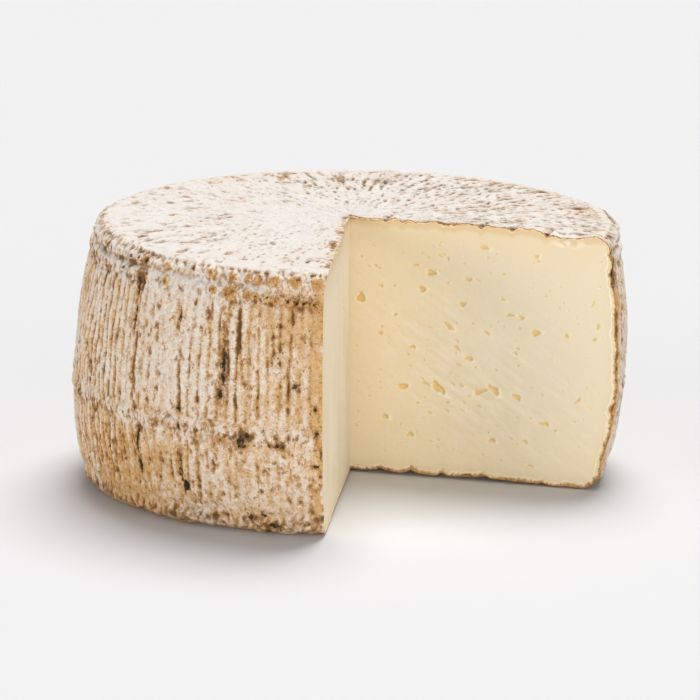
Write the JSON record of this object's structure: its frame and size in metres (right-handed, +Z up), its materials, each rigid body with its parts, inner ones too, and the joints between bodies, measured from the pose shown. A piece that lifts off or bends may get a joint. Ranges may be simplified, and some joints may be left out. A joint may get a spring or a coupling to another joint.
{
  "type": "cheese wheel",
  "caption": "Round basket-moulded hard cheese with a ribbed natural rind, lying flat, with one wedge cut out to show the pale paste and its small eyes.",
  "frame": {"origin": "middle of the flat underside, on the wheel's upright axis, where the two cut faces meet", "axes": "+Z up along the wheel's axis; the cut-out wedge opens towards -Y and +X, from azimuth -95 to -18 degrees about +Z"},
  "size_m": [0.2007, 0.2001, 0.0967],
  "materials": {
    "rind": "dry, matt natural rind, white bloom over tan, brown in its grooves",
    "paste": "smooth, faintly oily cut paste, warm cream"
  },
  "bodies": {
    "root": {"cheese_wheel": "rind"}
  },
  "joints": []
}
